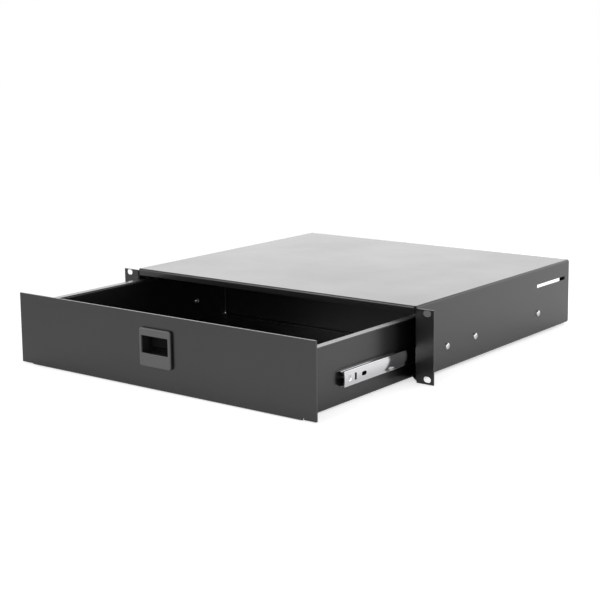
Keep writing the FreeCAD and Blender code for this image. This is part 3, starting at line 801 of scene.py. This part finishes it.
def domed_head(tree, radius, height):
    """Screw head: a low cylinder whose top is drawn up and in by steps."""
    rim_height = times(tree, height, 0.42)
    rim = cylinder(tree, 40, radius, rim_height)
    dome = raised(tree, rim.outputs["Mesh"], times(tree, rim_height, 0.5))
    crown = rim.outputs["Top"]
    for rise, shrink in ((0.18, 0.96), (0.16, 0.90), (0.13, 0.82), (0.08, 0.70), (0.03, 0.45)):
        step = tree.nodes.new("ShaderNodeCombineXYZ")
        lift = tree.nodes.new("GeometryNodeExtrudeMesh")
        lift.inputs["Offset Scale"].default_value = 1.0
        lift.inputs["Individual"].default_value = False
        narrow = tree.nodes.new("GeometryNodeScaleElements")
        narrow.inputs["Scale"].default_value = shrink
        link_nodes(
            tree,
            (times(tree, height, rise), step.inputs["Z"]),
            (dome, lift.inputs["Mesh"]),
            (crown, lift.inputs["Selection"]),
            (step.outputs["Vector"], lift.inputs["Offset"]),
            (lift.outputs["Mesh"], narrow.inputs["Geometry"]),
            (lift.outputs["Top"], narrow.inputs["Selection"]),
        )
        dome = narrow.outputs["Geometry"]
        crown = lift.outputs["Top"]
    return dome


def cross_recess(tree, head, radius, height):
    """Sinks a cross recess into a head: two tapered wings, one a little deeper."""
    recess = tree.nodes.new("GeometryNodeMeshBoolean")
    recess.operation = "DIFFERENCE"
    recess.solver = "EXACT"
    recess.inputs["Self Intersection"].default_value = True
    tree.links.new(head, recess.inputs["Mesh 1"])
    for turn, depth in ((0.0, 0.9), (math.pi / 2.0, 0.96)):
        wing = tree.nodes.new("GeometryNodeMeshCone")
        wing.inputs["Vertices"].default_value = 4
        flat = tree.nodes.new("GeometryNodeTransform")
        flat.inputs["Scale"].default_value = (1.0, 0.34, 1.0)
        across = tree.nodes.new("GeometryNodeTransform")
        across.inputs["Rotation"].default_value = (0.0, 0.0, turn)
        link_nodes(
            tree,
            (times(tree, radius, 0.62), wing.inputs["Radius Top"]),
            (times(tree, radius, 0.22), wing.inputs["Radius Bottom"]),
            (times(tree, height, depth), wing.inputs["Depth"]),
            (wing.outputs["Mesh"], flat.inputs["Geometry"]),
            (flat.outputs["Geometry"], across.inputs["Geometry"]),
        )
        sunk = raised(tree, across.outputs["Geometry"], times(tree, height, 0.3))
        tree.links.new(sunk, recess.inputs["Mesh 2"])
    return recess.outputs["Mesh"]


def screw_tree():
    """A pan-head screw on every point, head outward along +Z before it is turned."""
    tree, group_in = start_tree("pan_head_screw", {
        "Head Radius": 0.004, "Head Height": 0.0024,
        "Shank Radius": 0.002, "Shank Length": 0.0036})
    head_radius = group_in.outputs["Head Radius"]
    head_height = group_in.outputs["Head Height"]
    shank_length = group_in.outputs["Shank Length"]
    dome = domed_head(tree, head_radius, head_height)
    head = cross_recess(tree, dome, head_radius, head_height)
    shank = cylinder(tree, 28, group_in.outputs["Shank Radius"], shank_length)
    joined = tree.nodes.new("GeometryNodeJoinGeometry")
    link_nodes(
        tree,
        (raised(tree, shank.outputs["Mesh"], times(tree, shank_length, -0.499)),
         joined.inputs["Geometry"]),
        (head, joined.inputs["Geometry"]),
    )
    smooth_and_finish(tree, turned_instances(tree, group_in, joined.outputs["Geometry"]), group_in)
    return tree


screw_maker = screw_tree()
toward_rear = (-math.pi / 2.0, 0.0, 0.0)
head_height = 0.0024
shank_radius = 0.002
screw_rows = (
    ("cabinet_slide_screws_right", "case_screws_right", "housing", 1.0),
    ("cabinet_slide_screws_left", "case_screws_left", "housing", -1.0),
    ("drawer_slide_screws_right", "tray_screws_right", "drawer", -1.0),
    ("drawer_slide_screws_left", "tray_screws_left", "drawer", 1.0),
)
for cad_name, piece_name, body, outward in screw_rows:
    seats = []
    for low, high in solid_boxes(cad_name):
        seat = (low + high) / 2.0
        seat.x = (high.x if outward > 0.0 else low.x) - outward * head_height
        seats.append(seat)
    screw_size = high - low  # one size in each row
    screws = place_on_points(piece_name, seats, screw_maker, {
        "Head Radius": screw_size.y / 2.0, "Head Height": head_height,
        "Shank Radius": shank_radius, "Shank Length": screw_size.x - head_height,
        "Turn": (0.0, outward * math.pi / 2.0, 0.0), "Finish": fastener_zinc})
    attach(screws, body)
    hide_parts(cad_name)

latch_screw_seats = []
latch_head_height = 0.0018
for low, high in solid_boxes("latch_screws"):
    seat = (low + high) / 2.0
    seat.y = high.y - latch_head_height
    latch_screw_seats.append(seat)
latch_screws = place_on_points("bridge_screws", latch_screw_seats, screw_maker, {
    "Head Radius": 0.00275, "Head Height": latch_head_height, "Shank Radius": 0.00145,
    "Shank Length": 0.0052, "Turn": toward_rear, "Finish": fastener_zinc})
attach(latch_screws, "drawer")
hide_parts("latch_screws")


# ---- panel studs and nuts -----------------------------------------------------------
# Four M4 studs welded to the panel's back, so that its face stays bare, and the
# hexagon nuts that clamp the tray's front wall to it.
def stud_tree():
    """A threaded stud on every point, its thread a real helix round the core."""
    tree, group_in = start_tree("threaded_stud", {
        "Core Radius": 0.0017, "Length": 0.009, "Thread Turns": 10.0, "Thread Depth": 0.00032})
    core_radius = group_in.outputs["Core Radius"]
    length = group_in.outputs["Length"]
    core = cylinder(tree, 24, core_radius, length)
    helix = tree.nodes.new("GeometryNodeCurveSpiral")
    helix.inputs["Resolution"].default_value = 20
    start = tree.nodes.new("GeometryNodeTransform")
    start.inputs["Translation"].default_value = (0.0, 0.0, 0.0004)
    ridge = tree.nodes.new("GeometryNodeCurvePrimitiveCircle")
    ridge.inputs["Resolution"].default_value = 3
    sweep = tree.nodes.new("GeometryNodeCurveToMesh")
    sweep.inputs["Fill Caps"].default_value = True
    joined = tree.nodes.new("GeometryNodeJoinGeometry")
    link_nodes(
        tree,
        (group_in.outputs["Thread Turns"], helix.inputs["Rotations"]),
        (core_radius, helix.inputs["Start Radius"]),
        (core_radius, helix.inputs["End Radius"]),
        (times(tree, length, 0.9), helix.inputs["Height"]),
        (helix.outputs["Curve"], start.inputs["Geometry"]),
        (start.outputs["Geometry"], sweep.inputs["Curve"]),
        (group_in.outputs["Thread Depth"], ridge.inputs["Radius"]),
        (ridge.outputs["Curve"], sweep.inputs["Profile Curve"]),
        (raised(tree, core.outputs["Mesh"], times(tree, length, 0.5)),
         joined.inputs["Geometry"]),
        (sweep.outputs["Mesh"], joined.inputs["Geometry"]),
    )
    smooth_and_finish(tree, turned_instances(tree, group_in, joined.outputs["Geometry"]), group_in)
    return tree


def nut_tree():
    """A hexagon nut on every point, its upper corners chamfered."""
    tree, group_in = start_tree("hexagon_nut", {
        "Corner Radius": 0.004, "Height": 0.0032, "Bore Radius": 0.002})
    corner_radius = group_in.outputs["Corner Radius"]
    height = group_in.outputs["Height"]
    block = cylinder(tree, 6, corner_radius, height)
    bore = cylinder(tree, 28, group_in.outputs["Bore Radius"], times(tree, height, 1.5))
    cone = tree.nodes.new("GeometryNodeMeshCone")
    cone.inputs["Vertices"].default_value = 40
    turned = tree.nodes.new("GeometryNodeTransform")
    turned.inputs["Rotation"].default_value = (0.0, 0.0, math.radians(2.6))
    drop = tree.nodes.new("ShaderNodeCombineXYZ")
    chamfer = tree.nodes.new("GeometryNodeMeshBoolean")
    chamfer.operation = "INTERSECT"
    chamfer.solver = "EXACT"
    pierce = tree.nodes.new("GeometryNodeMeshBoolean")
    pierce.operation = "DIFFERENCE"
    pierce.solver = "EXACT"
    link_nodes(
        tree,
        (times(tree, corner_radius, 0.85), cone.inputs["Radius Top"]),
        (times(tree, corner_radius, 1.5), cone.inputs["Radius Bottom"]),
        (times(tree, height, 1.04), cone.inputs["Depth"]),
        (times(tree, height, -0.52), drop.inputs["Z"]),
        (cone.outputs["Mesh"], turned.inputs["Geometry"]),
        (drop.outputs["Vector"], turned.inputs["Translation"]),
        (block.outputs["Mesh"], chamfer.inputs["Mesh 2"]),
        (turned.outputs["Geometry"], chamfer.inputs["Mesh 2"]),
        (chamfer.outputs["Mesh"], pierce.inputs["Mesh 1"]),
        (bore.outputs["Mesh"], pierce.inputs["Mesh 2"]),
    )
    seated = raised(tree, pierce.outputs["Mesh"], times(tree, height, 0.5))
    smooth_and_finish(tree, turned_instances(tree, group_in, seated), group_in)
    return tree


fastener_rows = (
    ("front_panel_studs", "panel_studs", stud_tree(), {"Core Radius": 0.0017, "Length": 0.009}),
    ("front_panel_nuts", "panel_nuts", nut_tree(),
     {"Corner Radius": 0.00405, "Height": 0.0032, "Bore Radius": 0.002}),
)
for cad_name, piece_name, maker, sizes in fastener_rows:
    seats = []
    for low, high in solid_boxes(cad_name):
        seat = (low + high) / 2.0
        seat.y = low.y
        seats.append(seat)
    pieces = place_on_points(piece_name, seats, maker,
                             dict(sizes, Turn=toward_rear, Finish=fastener_zinc))
    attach(pieces, "drawer")
    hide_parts(cad_name)
